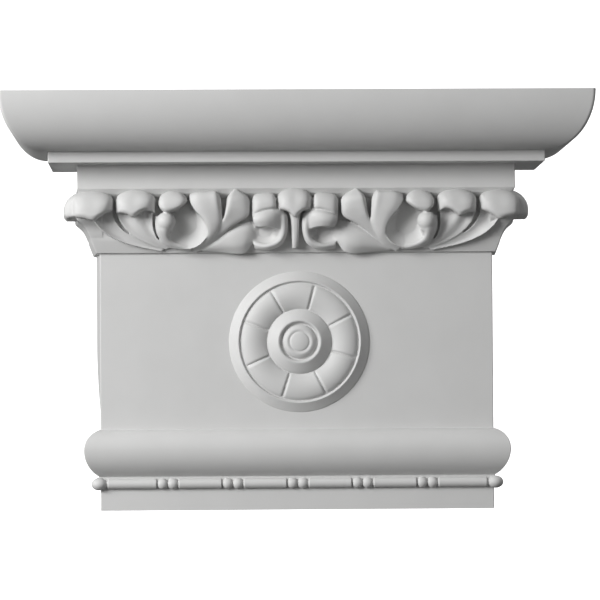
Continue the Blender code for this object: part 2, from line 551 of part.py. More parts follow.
def hook_leaf():
    """The small hooked leaf beside the centre: a curled lobe over a roll that wraps a cup."""
    lobe = head([(25.7, 30.0), (24.2, 32.9), (20.6, 34.0), (16.8, 34.3), (13.2, 33.6), (11.7, 31.0)],
                [(25.5, 20.8), (22.6, 22.4), (19.2, 23.6), (15.6, 24.4), (13.2, 24.7), (11.3, 24.9)], 17.6, 11.0)
    roll = sheet([[(25.2, 13.2, 20.8), (22.6, 14.6, 22.6), (18.2, 15.2, 24.0), (13.2, 14.8, 24.8),
                   (8.8, 13.0, 24.2), (5.4, 11.2, 22.0)],
                  [(25.3, 15.8, 19.4), (22.4, 17.9, 20.6), (18.0, 18.6, 21.6), (13.4, 17.8, 21.8),
                   (9.4, 15.4, 21.2), (6.2, 12.6, 19.6)],
                  [(24.8, 16.2, 17.2), (21.8, 18.4, 17.6), (17.8, 19.0, 18.0), (13.8, 17.8, 17.8),
                   (10.4, 15.6, 17.4), (7.4, 13.2, 16.6)],
                  [(23.8, 14.0, 14.6), (21.0, 16.2, 14.3), (17.5, 16.8, 14.4), (14.4, 15.8, 14.2),
                   (11.8, 14.4, 13.6), (9.2, 13.0, 13.0)]])
    wall = sheet([[(9.0, 10.6, 24.0), (5.4, 11.0, 21.6), (4.5, 10.8, 16.0), (5.1, 10.0, 10.4), (7.4, 8.8, 5.4),
                   (12.0, 7.8, 2.4), (18.2, 7.0, 1.4), (24.2, 5.8, 2.2)],
                  [(9.4, 13.4, 23.2), (6.6, 14.2, 20.4), (5.9, 13.7, 15.6), (6.4, 12.6, 10.7), (8.5, 11.6, 6.5),
                   (12.5, 10.6, 3.8), (18.2, 9.8, 2.6), (24.4, 7.6, 3.8)],
                  [(10.6, 14.2, 22.2), (8.6, 14.8, 19.2), (7.8, 14.0, 15.0), (8.1, 12.8, 10.8), (9.8, 11.8, 7.3),
                   (13.2, 10.8, 5.0), (18.2, 9.9, 3.9), (24.6, 7.6, 5.2)],
                  [(11.8, 13.0, 20.8), (10.6, 13.4, 18.0), (9.8, 12.6, 14.4), (10.0, 11.4, 10.8),
                   (11.4, 10.2, 8.2), (14.1, 9.6, 6.0), (18.3, 8.8, 5.0), (24.6, 6.6, 6.6)]])
    cup = bowl((17.4, 9.6), (8.6, 6.8), [(0, 7.6), (60, 6.6), (120, 8.0), (180, 11.4), (225, 10.8), (270, 9.2),
                                         (315, 7.6), (360, 6.8)], 4.8, (-0.6, 1.6))
    return [lobe, roll, wall, cup]


def centre_lobe():
    """The lobe on the middle of the front, with its upright rib."""
    crest = [(11.2, 31.4), (8.8, 34.6), (4.8, 36.4), (0.0, 37.0)]
    lower = [(10.6, 24.8), (7.4, 24.2), (3.6, 22.6), (0.0, 20.0)]
    lobe = head(crest + [(-a, up) for a, up in reversed(crest[:-1])],
                lower + [(-a, up) for a, up in reversed(lower[:-1])], 19.8)
    side = [(4.0, 8.4, 23.5), (3.1, 8.0, 19.5), (2.6, 6.8, 13.0), (2.2, 5.2, 6.0), (1.9, 4.4, 2.2)]
    face = [(2.9, 12.4, 23.5), (2.2, 12.0, 19.0), (1.9, 11.2, 13.0), (1.6, 9.8, 6.0), (1.3, 8.0, 2.2)]
    rib = sheet([side, face, [(-a, out, up) for a, out, up in face], [(-a, out, up) for a, out, up in side]])
    return [lobe, rib]


def on_front(point, hand):
    """A drawn point on the front of the band, in metres."""
    along = point.x * hand
    along -= DRIFT * math.exp(-((along - DRIFT_CENTRE) / DRIFT_REACH) ** 2)
    return Vector((along / DRAWN_HALF_WIDTH * HALF_WIDTH,
                   -HALF_DEPTH + point.y / DRAWN_PROJECTION * LEAF_PROJECTION,
                   BAND_BOTTOM + point.z / DRAWN_BAND_HEIGHT * BAND_HEIGHT))


def on_return(point, hand):
    """The same point on the return beside it: over the mitre, and stopped at the wall."""
    front = on_front(point, 1)
    out, back = -HALF_DEPTH - front.y, HALF_WIDTH - front.x
    aside = spread(front.z) * max(back, 0.0) / BODY_DEPTH
    depth = min(-HALF_DEPTH + back, HALF_DEPTH - WALL_CLEARANCE)
    return Vector((hand * (HALF_WIDTH + out + aside), depth, front.z))


def keep_largest_body(mesh):
    """Drop the crumbs that fusing leaves beside or inside the main body."""
    bm = bmesh.new()
    bm.from_mesh(mesh)
    left, bodies = set(bm.faces), []
    while left:
        frontier = [left.pop()]
        body = set(frontier)
        while frontier:
            near = {other for edge in frontier.pop().edges for other in edge.link_faces} & left
            left -= near
            body |= near
            frontier += near
        bodies.append(body)
    bodies.sort(key=len)
    crumbs = [face for body in bodies[:-1] for face in body]
    bmesh.ops.delete(bm, geom=crumbs, context="FACES")
    bm.to_mesh(mesh)
    bm.free()


def carving(collection):
    """The carved band: each half's leaves on the front, and the outer heads again on the return, fused."""
    bm = bmesh.new()
    for hand in (1, -1):
        runs = [(on_front, corner_heads() + [corner_cove(106.0, 0.45)] + corner_blades() + volute()
                 + [volute_head()] + fan_leaf() + hook_leaf() + centre_lobe()),
                (on_return, corner_heads() + [volute_head(), corner_cove(DRAWN_HALF_WIDTH - DRAWN_DEPTH, 0.0)])]
        for place, solids in runs:
            for solid in solids:
                for vert in solid.verts:
                    vert.co = place(vert.co, hand)
                piece = mesh_from(solid, "piece")
                bm.from_mesh(piece)
                bpy.data.meshes.remove(piece)
    mesh = bpy.data.meshes.new("leaves")
    bm.to_mesh(mesh)
    bm.free()
    leaves = add_object("leaves", mesh, collection)
    fuse = leaves.modifiers.new("fuse", "REMESH")
    fuse.mode = "VOXEL"
    fuse.voxel_size = CARVING_VOXEL
    soften = leaves.modifiers.new("soften", "SMOOTH")
    soften.iterations = 2
    apply_modifiers(leaves)
    keep_largest_body(leaves.data)
    lighten = leaves.modifiers.new("lighten", "DECIMATE")
    lighten.ratio = min(1.0, CARVING_TRIANGLES / (2 * len(leaves.data.polygons)))
    lighten.use_collapse_triangulate = True
    return apply_modifiers(leaves)


def spans_thin_triangle(edge):
    """Whether an edge is the longest one of a triangle that has hardly any height."""
    for face in edge.link_faces:
        longest = max(face.edges, key=lambda other: other.calc_length())
        if edge == longest and 2 * face.calc_area() < SLIVER * edge.calc_length():
            return True
    return False


def weld_slivers(body):
    """Merge the points that unions leave a hair apart, and turn edges in flat places to fuller triangles."""
    bm = bmesh.new()
    bm.from_mesh(body.data)
    bmesh.ops.remove_doubles(bm, verts=bm.verts, dist=SLIVER)
    bmesh.ops.dissolve_degenerate(bm, edges=bm.edges, dist=SLIVER)
    bmesh.ops.triangulate(bm, faces=bm.faces)
    turning = [edge for edge in bm.edges if edge.calc_face_angle(0) < FLAT_ANGLE or spans_thin_triangle(edge)]
    bmesh.ops.beautify_fill(bm, faces=bm.faces, edges=turning, method="AREA")
    bm.to_mesh(body.data)
    bm.free()


def finish(body):
    """Shade the rounds smooth and give the casting its white primer."""
    body.data.shade_smooth()
    body.data.set_sharp_from_angle(angle=math.radians(40))
    primer = bpy.data.materials.new("white_primer")
    primer.use_nodes = True
    shader = primer.node_tree.nodes["Principled BSDF"]
    shader.inputs["Base Color"].default_value = (0.76, 0.76, 0.75, 1.0)
    shader.inputs["Roughness"].default_value = 0.55
    shader.inputs["Metallic"].default_value = 0.0
    body.data.materials.clear()
    body.data.materials.append(primer)


def main():
    """Build the capital."""
    for thing in list(bpy.data.objects):
        bpy.data.objects.remove(thing, do_unlink=True)
    parts = bpy.data.collections.new("pilaster_capital")
    bpy.context.scene.collection.children.link(parts)
    capital = mitred_body(capital_profile(), parts)
    bead_and_reel(capital, parts)
    join_solids(capital, rosette(parts))
    join_solids(capital, carving(parts))
    weld_slivers(capital)
    finish(capital)


main()
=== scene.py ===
"""Looks of the pilaster capital: the whole casting at full detail, in its white primer, in a plain studio.

Metres, +Z up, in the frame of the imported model: the front faces -Y and the flat back +Y. The casting stands
for the node "capital" and keeps its courses, its outline and its origin.
"""
import math

import bmesh
import bpy
import numpy as np
from mathutils import Matrix, Quaternion, Vector


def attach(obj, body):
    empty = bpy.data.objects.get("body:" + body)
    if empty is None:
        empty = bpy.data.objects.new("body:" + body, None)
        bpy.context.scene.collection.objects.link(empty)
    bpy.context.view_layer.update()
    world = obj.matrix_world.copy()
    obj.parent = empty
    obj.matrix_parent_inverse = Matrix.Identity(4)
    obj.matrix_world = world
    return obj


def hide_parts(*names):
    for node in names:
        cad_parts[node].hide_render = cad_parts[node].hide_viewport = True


# Driving dimensions of the pilaster that the capital sits on
BODY_WIDTH = 0.228
BODY_DEPTH = 0.048

# How much further out each return stands at the wall than at the front
FOOT_SPREAD = 0.001
FULL_SPREAD = 0.0037
CROWN_SPREAD = 0.0014
SPREAD_STEPS = 12

# Heights of the courses, from the underside up
BASE_HEIGHT = 0.0122
BEAD_COURSE_HEIGHT = 0.0065
STRIP_HEIGHT = 0.0009
TORUS_HEIGHT = 0.0271
SHAFT_HEIGHT = 0.1023
BAND_HEIGHT = 0.0367
FASCIA_HEIGHT = 0.014
FILLET_HEIGHT = 0.0065
CROWN_HEIGHT = 0.0328

# Projections from the face of the pilaster
STRIP_PROJECTION = 0.0006
TORUS_PROJECTION = 0.0093
TORUS_BELLY = 0.0155
TORUS_SHOULDER_TURN = 80
FASCIA_PROJECTION = 0.0125
FASCIA_BEVEL_DEPTH = 0.0022
FASCIA_BEVEL_HEIGHT = 0.0027
FILLET_PROJECTION = 0.0284
CROWN_SEAT_STEP = 0.0026
CROWN_PROJECTION = 0.055

# The small rounds that a mould leaves on every arris
ARRIS_ROUND = 0.0006
CROWN_CORNER_ROUND = 0.002
ARRIS_STEPS = 4
ARRIS_LEAST_TURN = math.radians(22)

# Bead-and-reel. A bead's ends stop at BEAD_END_ANGLE on its oval, and below 1 its roundness makes it a
# barrel. A reel's ends are eased by a share of its radius.
BEAD_RADIUS = 0.0032
BEAD_ROUNDNESS = 0.7
BEAD_END_ANGLE = 16
BEAD_STEPS = 12
REEL_RADIUS = 0.0029
REEL_EASE = 0.12
NECK_RADIUS = 0.0018
BEAD_LENGTH = 0.006
NECK_LENGTH = 0.0005
CORNER_BEAD_LENGTH = 0.0092
CORNER_BEAD_RADIUS = 0.0036
STRING_PROJECTION = 0.0008
PAIR_PITCH = 0.0376
PAIRS_ACROSS = 5
STRING_SIDES = 28
WALL_CLEARANCE = 0.0004

# How finely the rounds of the courses and of the balls are drawn
TORUS_STEPS = 18
CROWN_STEPS = 40
BALL_SEGMENTS = 40
BALL_RINGS = 24

# Rosette. Its section and its grooves are drawn in millimetres and scaled to its radius.
ROSETTE_RADIUS = 0.041
ROSETTE_RISE = -0.0006
ROSETTE_ASIDE = 0.0015
DRAWN_ROSETTE_RADIUS = 41.0
ROSETTE_SPOKES = 320
ROSETTE_RINGS = 110
GROOVE_ANGLES = (27.5, 74.5, 119.0, 159.5, 205.0, 252.5, 297.0, 343.5)
GROOVE_WIDTH = 0.75
GROOVE_DEPTH = 1.1
PANEL_SWELL = 0.35
PANEL_EASE = 1.0

# Leaf band
LEAF_PROJECTION = 0.0205
CARVING_VOXEL = 0.00045
CARVING_SOFTENING = 4
CARVING_TRIANGLES = 130000

# Edges that turn more than this are drawn crisp
SHARP_TURN = math.radians(38)

# Levels worked out from the courses
BASE_TOP = BASE_HEIGHT
BEAD_TOP = BASE_TOP + BEAD_COURSE_HEIGHT
TORUS_BOTTOM = BEAD_TOP + STRIP_HEIGHT
TORUS_TOP = TORUS_BOTTOM + TORUS_HEIGHT
BAND_BOTTOM = TORUS_TOP + SHAFT_HEIGHT
BAND_TOP = BAND_BOTTOM + BAND_HEIGHT
FASCIA_TOP = BAND_TOP + FASCIA_HEIGHT
FILLET_TOP = FASCIA_TOP + FILLET_HEIGHT
CROWN_TOP = FILLET_TOP + CROWN_HEIGHT
HALF_WIDTH = BODY_WIDTH / 2
HALF_DEPTH = BODY_DEPTH / 2
SHAFT_MIDDLE = (TORUS_TOP + BAND_BOTTOM) / 2
ROSETTE_CENTRE = SHAFT_MIDDLE + ROSETTE_RISE

# The carving is drawn in millimetres on a band 114 mm from centre to corner, 36.7 mm high, with noses
# 20.5 mm out, and follows the band's own size. SUNK, the projection of each leaf's back, is in the body.
DRAWN_HALF_WIDTH = 114.0
DRAWN_BAND_HEIGHT = 36.7
DRAWN_PROJECTION = 20.5
DRAWN_DEPTH = DRAWN_HALF_WIDTH * BODY_DEPTH / HALF_WIDTH
SUNK = -2.0

# The bell behind the leaves, as (projection, height) in drawn millimetres: a cove, then upright
BELL = ((1.8, 0.0), (3.1, 3.2), (4.5, 6.8), (5.3, 10.4), (5.7, 13.6), (5.8, 17.0), (5.8, 31.0))

# The plain cove under the outer heads, in the same way
CORNER_COVE = ((3.9, 6.8), (5.6, 10.0), (7.0, 13.0), (8.6, 15.4), (10.6, 17.2), (12.4, 18.8), (13.0, 20.6),
               (13.0, 22.4))

# Where the front's cove has faded into the bell, and where the return's cove meets the wall, counted like
# the leaves' own places from the middle of the front. A cove that fades ends COVE_SUNK under the bell, and
# halfway along it has come COVE_HALF_FADE of the way there.
COVE_INNER = 104.0
COVE_AT_WALL = DRAWN_HALF_WIDTH - DRAWN_DEPTH
COVE_SUNK = 0.4
COVE_HALF_FADE = 0.7

# How a lobe's head curls over, from its crest (0) to its hem (1). It is furthest out from ROLL_END on, and
# tucks back in from TUCK_START. Its rows crowd toward the crest, and its sides are squarer than a circle.
HEAD_COLUMNS = 41
HEAD_ROWS = 30
HEAD_OUTLINE_STEPS = 200
HEAD_CROWDING = 1.6
HEAD_SQUARENESS = 3.6
ROLL_END = 0.7
ROLL_FULLNESS = 0.58
TUCK_START = 0.84
TUCK_LENGTH = 0.16
TUCK_DEPTH = 1.8

# How finely a bowl is drawn, and how flat its floor is. Its seam closes by merging, and the pinhole at its
# middle when the leaves are fused.
BOWL_SIDES = 72
BOWL_RINGS = 22
BOWL_PINHOLE = 0.004
BOWL_MERGE = 0.0005
BOWL_FLATNESS = 2.2

# The carver's unevenness: the leaves just right of the front's middle sit up to this much further left, in
# drawn millimetres
DRIFT = 2.2
DRIFT_CENTRE = 16.0
DRIFT_REACH = 16.0


def add_object(name, mesh):
    """Put a mesh in the scene as an object."""
    thing = bpy.data.objects.new(name, mesh)
    bpy.context.scene.collection.objects.link(thing)
    return thing


def mesh_from(bm, name):
    """Close a bmesh into a mesh with its faces pointing out."""
    bmesh.ops.recalc_face_normals(bm, faces=bm.faces)
    mesh = bpy.data.meshes.new(name)
    bm.to_mesh(mesh)
    bm.free()
    return mesh


def apply_modifiers(thing):
    """Bake an object's modifiers into its mesh."""
    graph = bpy.context.evaluated_depsgraph_get()
    mesh = bpy.data.meshes.new_from_object(thing.evaluated_get(graph))
    thing.modifiers.clear()
    thing.data = mesh
    return thing


def join_solids(target, tool):
    """Boolean union of a tool into a target."""
    union = target.modifiers.new("union", "BOOLEAN")
    union.operation = "UNION"
    union.solver = "MANIFOLD"
    union.object = tool
    apply_modifiers(target)
    bpy.data.objects.remove(tool, do_unlink=True)
    return target


def arc(centre_out, centre_up, radius_out, radius_up, start, end, steps):
    """Points of an elliptical arc in (projection, height), angles in degrees from straight out."""
    angles = np.radians(np.linspace(start, end, steps + 1))
    return [(centre_out + radius_out * math.cos(t), centre_up + radius_up * math.sin(t)) for t in angles]


def torus_profile():
    """The torus: a long slope up to its belly, then a fuller shoulder back to the pilaster's face."""
    belly = TORUS_BOTTOM + TORUS_BELLY
    slope = TORUS_PROJECTION - STRIP_PROJECTION
    radius = (TORUS_BELLY ** 2 + slope ** 2) / (2 * slope)
    reach = math.degrees(math.asin(TORUS_BELLY / radius))
    turn = math.radians(TORUS_SHOULDER_TURN)
    across = TORUS_PROJECTION / (1 - math.cos(turn))
    upward = (TORUS_HEIGHT - TORUS_BELLY) / math.sin(turn)
    under = arc(TORUS_PROJECTION - radius, belly, radius, radius, -reach, 0, TORUS_STEPS)
    shoulder = arc(TORUS_PROJECTION - across, belly, across, upward, 0, TORUS_SHOULDER_TURN, TORUS_STEPS)
    return under + shoulder[1:]


def crown_profile():
    """The crown: a quarter of an oval that swells from the fillet out to the top edge."""
    seat = FILLET_PROJECTION + CROWN_SEAT_STEP
    return arc(seat, CROWN_TOP, CROWN_PROJECTION - seat, CROWN_HEIGHT, -90, 0, CROWN_STEPS)


def bell_profile():
    """The bell behind the leaves: a cove from the shaft, then upright to the bevel under the fascia."""
    across = LEAF_PROJECTION / DRAWN_PROJECTION
    upward = BAND_HEIGHT / DRAWN_BAND_HEIGHT
    points = [(out * across, BAND_BOTTOM + up * upward) for out, up in BELL]
    return points + [(FASCIA_PROJECTION - FASCIA_BEVEL_DEPTH, BAND_TOP - FASCIA_BEVEL_HEIGHT)]


def eased(points):
    """The profile with every arris rounded by a small curve."""
    points = [Vector(point) for point in points]
    result = [points[0]]
    for before, corner, after in zip(points, points[1:], points[2:]):
        back, ahead = before - corner, after - corner
        turn = math.pi - back.angle(ahead)
        if turn < ARRIS_LEAST_TURN:
            result.append(corner)
            continue
        reach = min(ARRIS_ROUND * math.tan(turn / 2), 0.4 * back.length, 0.4 * ahead.length)
        start, end = corner + back.normalized() * reach, corner + ahead.normalized() * reach
        for t in np.linspace(0, 1, ARRIS_STEPS + 1):
            result.append(start * (1 - t) ** 2 + corner * 2 * t * (1 - t) + end * t ** 2)
    return result + [points[-1]]


def capital_profile():
    """The whole side of the capital as (projection, height), from the underside to the top."""
    points = [(-ARRIS_ROUND, 0.0), (0.0, 0.0), (0.0, BASE_TOP), (STRIP_PROJECTION, BEAD_TOP)]
    points += torus_profile()
    rise = SHAFT_MIDDLE - TORUS_TOP
    points += [(0.0, TORUS_TOP + rise * (i + 1) / SPREAD_STEPS) for i in range(SPREAD_STEPS)]
    points += [(0.0, BAND_BOTTOM)]
    points += bell_profile()
    points += [(FASCIA_PROJECTION, BAND_TOP), (FASCIA_PROJECTION, FASCIA_TOP)]
    points += [(FILLET_PROJECTION, FASCIA_TOP), (FILLET_PROJECTION, FILLET_TOP)]
    points += crown_profile()
    points += [(CROWN_PROJECTION - ARRIS_ROUND, CROWN_TOP)]
    return eased(points)


def spread(height):
    """How much further out a return stands at the wall than at the front, at one height."""
    if height >= BAND_TOP:
        return CROWN_SPREAD
    share = min(max((height - TORUS_TOP) / (SHAFT_MIDDLE - TORUS_TOP), 0.0), 1.0)
    return FOOT_SPREAD + (FULL_SPREAD - FOOT_SPREAD) * math.sin(share * math.pi / 2)


def course_outline(projection, height):
    """The capital's outline at one point of the profile, with its two front corners rounded."""
    rounding = CROWN_CORNER_ROUND if height > FILLET_TOP else ARRIS_ROUND
    front = HALF_WIDTH + projection
    back = front + spread(height)
    face = -HALF_DEPTH - projection
    turns = np.radians(np.linspace(0, 90, ARRIS_STEPS + 1))
    left = [Vector((-front + rounding * (1 - math.cos(t)), face + rounding * (1 - math.sin(t)), height))
            for t in turns]
    right = [Vector((-point.x, point.y, height)) for point in reversed(left)]
    return [Vector((-back, HALF_DEPTH, height)), *left, *right, Vector((back, HALF_DEPTH, height))]


def mitred_body(profile):
    """Run the profile round the left return, the front and the right return, closed flat at the wall."""
    bm = bmesh.new()
    rings = [[bm.verts.new(corner) for corner in course_outline(*point)] for point in profile]
    strips = []
    for low, high in zip(rings, rings[1:]):
        for near in range(len(low) - 1):
            strips.append(bm.faces.new((low[near], low[near + 1], high[near + 1], high[near])))
    bmesh.ops.triangulate(bm, faces=strips)
    bm.faces.new(rings[0])
    bm.faces.new(rings[-1])
    bm.faces.new([ring[0] for ring in rings] + [ring[-1] for ring in reversed(rings)])
    return add_object("casting", mesh_from(bm, "casting"))


def turned(name, profile, steps):
    """A closed turned solid from (radius, height) points that run from the top down the outer side."""
    bm = bmesh.new()
    verts = [bm.verts.new((radius, 0.0, height)) for radius, height in profile]
    for first, second in zip(verts, verts[1:]):
        bm.edges.new((first, second))
    thing = add_object(name, mesh_from(bm, name))
    screw = thing.modifiers.new("turn", "SCREW")
    screw.steps = steps
    screw.render_steps = steps
    screw.use_merge_vertices = True
    screw.merge_threshold = 0.00001
    return apply_modifiers(thing)


def bead(centre):
    """Profile points of one barrel-shaped bead on a string, as (radius, place)."""
    angles = np.radians(np.linspace(BEAD_END_ANGLE, 180 - BEAD_END_ANGLE, BEAD_STEPS + 1))
    return [(BEAD_RADIUS * math.sin(t) ** BEAD_ROUNDNESS, centre - BEAD_LENGTH / 2 * math.cos(t))
            for t in angles]


def reel(start, end):
    """Profile points of one reel: a short rod whose two ends are eased."""
    ease = REEL_EASE * REEL_RADIUS
    return [(REEL_RADIUS - ease, start), (REEL_RADIUS, start + ease), (REEL_RADIUS, end - ease),
            (REEL_RADIUS - ease, end)]


def string_profile(length, places, ends_in_bead):
    """A string along its axis, from a corner bead: a pair of beads at each place, reels between."""
    half_pair = BEAD_LENGTH + NECK_LENGTH
    reel_start = CORNER_BEAD_LENGTH / 2 + NECK_LENGTH
    points = [(0.0, 0.0), (NECK_RADIUS, 0.0), (NECK_RADIUS, reel_start - NECK_LENGTH)]
    for place in places:
        points += reel(reel_start, place - half_pair)
        points += bead(place - BEAD_LENGTH / 2)
        points += bead(place + BEAD_LENGTH / 2)
        reel_start = place + half_pair
    if ends_in_bead:
        reel_end = length - CORNER_BEAD_LENGTH / 2 - NECK_LENGTH
        points += reel(reel_start, reel_end)
        points += [(NECK_RADIUS, reel_end + NECK_LENGTH), (NECK_RADIUS, length), (0.0, length)]
    else:
        points += [(REEL_RADIUS, reel_start), (REEL_RADIUS, length), (0.0, length)]
    return points


def lay_string(start, end, places, ends_in_bead):
    """A turned bead-and-reel string from start to end, with the pairs of beads that fit on it."""
    length = (end - start).length
    room = length - BEAD_LENGTH - NECK_LENGTH
    profile = string_profile(length, [place for place in places if place < room], ends_in_bead)
    string = turned("string", profile[::-1], STRING_SIDES)
    along = (end - start).normalized()
    string.data.transform(Matrix.Translation(start) @ along.to_track_quat("Z", "X").to_matrix().to_4x4())
    return string


def corner_bead(centre):
    """The flattened bead that hides a string's mitre."""
    bm = bmesh.new()
    bmesh.ops.create_uvsphere(bm, u_segments=BALL_SEGMENTS, v_segments=BALL_RINGS,
                              radius=CORNER_BEAD_LENGTH / 2)
    ball = add_object("corner_bead", mesh_from(bm, "corner_bead"))
    flatten = Matrix.Diagonal((1.0, 1.0, 2 * CORNER_BEAD_RADIUS / CORNER_BEAD_LENGTH, 1.0))
    ball.data.transform(Matrix.Translation(centre) @ flatten)
    return ball


def bead_and_reel(body):
    """Lay the string along the front and both returns, with one flattened bead on each corner."""
    height = BASE_TOP + BEAD_COURSE_HEIGHT / 2
    corner = HALF_WIDTH + STRING_PROJECTION
    front = -HALF_DEPTH - STRING_PROJECTION
    left, right = Vector((-corner, front, height)), Vector((corner, front, height))
    places = [corner + PAIR_PITCH * (i - (PAIRS_ACROSS - 1) / 2) for i in range(PAIRS_ACROSS)]
    join_solids(body, lay_string(left, right, places, True))
    for side, turn in ((-1, left), (1, right)):
        wall = Vector((side * (corner + spread(height)), HALF_DEPTH - WALL_CLEARANCE, height))
        join_solids(body, lay_string(turn, wall, places[:1], False))
        join_solids(body, corner_bead(turn))


def smooth_rows(rows, count):
    """Rows read at even steps along the smooth curve through the given rows."""
    rows = np.array(rows, float)
    ends = np.concatenate([[2 * rows[0] - rows[1]], rows, [2 * rows[-1] - rows[-2]]])
    result = []
    for place in np.linspace(0, len(rows) - 1, count):
        i = min(int(place), len(rows) - 2)
        f = place - i
        p0, p1, p2, p3 = ends[i:i + 4]
        result.append(0.5 * (2 * p1 + (p2 - p0) * f + (2 * p0 - 5 * p1 + 4 * p2 - p3) * f ** 2
                             + (3 * p1 - p0 - 3 * p2 + p3) * f ** 3))
    return np.array(result)


def rosette_profile():
    """The rosette's section as (radius, projection) in drawn millimetres, from the middle outward."""
    button = [(0.0, 8.0), (4.6, 8.0), (5.2, 7.7), (5.7, 7.45), (6.3, 7.6), (7.0, 7.75), (7.7, 7.6),
              (8.6, 7.1), (9.3, 6.5), (9.8, 5.7), (10.2, 5.3), (10.7, 5.5), (11.2, 6.6), (11.6, 7.3)]
    hub = [(12.1, 7.5), (12.7, 7.4), (14.4, 6.3), (16.6, 4.8), (18.0, 3.7), (18.5, 3.0)]
    panel = [(18.9, 2.8), (19.5, 3.1), (21.0, 3.9), (23.4, 4.8), (26.2, 5.3), (29.0, 5.2), (31.4, 4.6),
             (33.0, 3.8), (33.9, 3.1)]
    rim = [(34.3, 3.0), (34.7, 3.7), (35.2, 4.3), (35.7, 4.2), (36.2, 3.8), (37.6, 2.7), (39.2, 1.5),
           (40.4, 0.6), (41.0, -0.2)]
    return button + hub + panel + rim, panel[0][0], panel[-1][0]


def groove_dip(radius, angle):
    """How deep the groove between two panels lies at a place, from 0 on a panel to 1 along the groove."""
    nearest = min(abs((angle - groove + 180) % 360 - 180) for groove in GROOVE_ANGLES)
    aside = radius * math.radians(nearest)
    width = GROOVE_WIDTH * (0.6 + 0.5 * radius / DRAWN_ROSETTE_RADIUS)
    return math.exp(-(aside / width) ** 2)


def rosette():
    """The round boss on the shaft: a stepped button, a sloped hub, eight pillowed panels and a rim."""
    profile, inner, outer = rosette_profile()
    scale = ROSETTE_RADIUS / DRAWN_ROSETTE_RADIUS
    bm = bmesh.new()
    rings = []
    angles = [360 * i / ROSETTE_SPOKES for i in range(ROSETTE_SPOKES)]
    for radius, out in smooth_rows(profile[1:], ROSETTE_RINGS):
        ring = []
        for angle in angles:
            dip = 0.0
            if inner < radius < outer:
                ease = min(1.0, (radius - inner) / PANEL_EASE, (outer - radius) / PANEL_EASE)
                swell = PANEL_SWELL * ease
                dip = GROOVE_DEPTH * ease * groove_dip(radius, angle) - swell
            turn = math.radians(angle)
            ring.append(bm.verts.new((radius * math.cos(turn), radius * math.sin(turn), out - dip)))
        rings.append(ring)
    centre = bm.verts.new((0.0, 0.0, profile[0][1]))
    behind = [bm.verts.new((vert.co.x, vert.co.y, SUNK)) for vert in rings[-1]]
    rings.append(behind)
    count = len(angles)
    for i in range(count):
        j = (i + 1) % count
        bm.faces.new((centre, rings[0][i], rings[0][j]))
        for near, far in zip(rings, rings[1:]):
            bm.faces.new((near[i], far[i], far[j], near[j]))
    bm.faces.new(behind)
    boss = add_object("rosette", mesh_from(bm, "rosette"))
    face_out = Matrix.Rotation(math.pi / 2, 4, "X") @ Matrix.Diagonal((scale, scale, scale, 1.0))
    boss.data.transform(Matrix.Translation((ROSETTE_ASIDE, -HALF_DEPTH, ROSETTE_CENTRE)) @ face_out)
    return boss


def closed_grid(front, back):
    """A closed bmesh between two like grids of points, the front one and the one behind it."""
    bm = bmesh.new()
    rows, columns = len(front), len(front[0])
    near = [[bm.verts.new(point) for point in row] for row in front]
    far = [[bm.verts.new(point) for point in row] for row in back]
    for i in range(rows - 1):
        for j in range(columns - 1):
            bm.faces.new((near[i][j], near[i][j + 1], near[i + 1][j + 1], near[i + 1][j]))
            bm.faces.new((far[i][j], far[i + 1][j], far[i + 1][j + 1], far[i][j + 1]))
    border = [(i, 0) for i in range(rows)] + [(rows - 1, j) for j in range(1, columns)]
    border += [(i, columns - 1) for i in range(rows - 2, -1, -1)]
    border += [(0, j) for j in range(columns - 2, 0, -1)]
    for (i, j), (k, m) in zip(border, border[1:] + border[:1]):
        bm.faces.new((near[i][j], near[k][m], far[k][m], far[i][j]))
    bmesh.ops.recalc_face_normals(bm, faces=bm.faces)
    return bm


def sheet(curves, along=48, across=25):
    """A leaf's face lofted across like curves, closed behind.

    Each curve is a list of (a, out, up) in drawn millimetres: the distance from the middle of the front, the
    projection and the height over the band's foot.
    """
    lines = [smooth_rows(curve, along) for curve in curves]
    grid = smooth_rows(lines, across)
    front = [[(a, -out, up) for a, out, up in line] for line in grid]
    behind = [[(a, -SUNK, up) for a, out, up in line] for line in grid]
    return closed_grid(front, behind)


def head(crest, lower, nose, edge=9.0, top=10.6):
    """The curled-over head of a lobe, which rolls out from the bell to its nose and tucks back under.

    crest and lower are its top and bottom outlines as (a, up). nose is the projection of its middle, top
    that of its crest, and edge that of its two sides, where it rounds back into the slits.
    """
    sideways = np.sin(np.radians(np.linspace(-90, 90, HEAD_COLUMNS)))
    places = np.round((sideways + 1) / 2 * HEAD_OUTLINE_STEPS).astype(int)
    crown, hem = [smooth_rows(line, HEAD_OUTLINE_STEPS + 1)[places] for line in (crest, lower)]
    front, behind = [], []
    for s in np.linspace(0, 1, HEAD_ROWS):
        v = s ** HEAD_CROWDING
        t = min(1.0, v / ROLL_END)
        roll = (t * (2 - t)) ** ROLL_FULLNESS
        tuck = TUCK_DEPTH * max(0.0, (v - TUCK_START) / TUCK_LENGTH) ** 2
        line, rear = [], []
        for u, high, low in zip(sideways, crown, hem):
            crosswise = math.sqrt(max(0.0, 1 - abs(u) ** HEAD_SQUARENESS))
            out = edge + (top + (nose - top) * roll - tuck - edge) * crosswise
            a, up = high + (low - high) * v
            line.append((a, -out, up))
            rear.append((a, -SUNK, up))
        front.append(line)
        behind.append(rear)
    return closed_grid(front, behind)


def egg(centre, radii):
    """An ellipsoid, as a bmesh in drawn millimetres, from (a, out, up) and its three radii."""
    bm = bmesh.new()
    a, out, up = centre
    place = Matrix.Translation((a, -out, up)) @ Matrix.Diagonal((*radii, 1.0))
    bmesh.ops.create_uvsphere(bm, u_segments=BALL_SEGMENTS, v_segments=BALL_RINGS, radius=1.0,
                              matrix=place)
    return bm


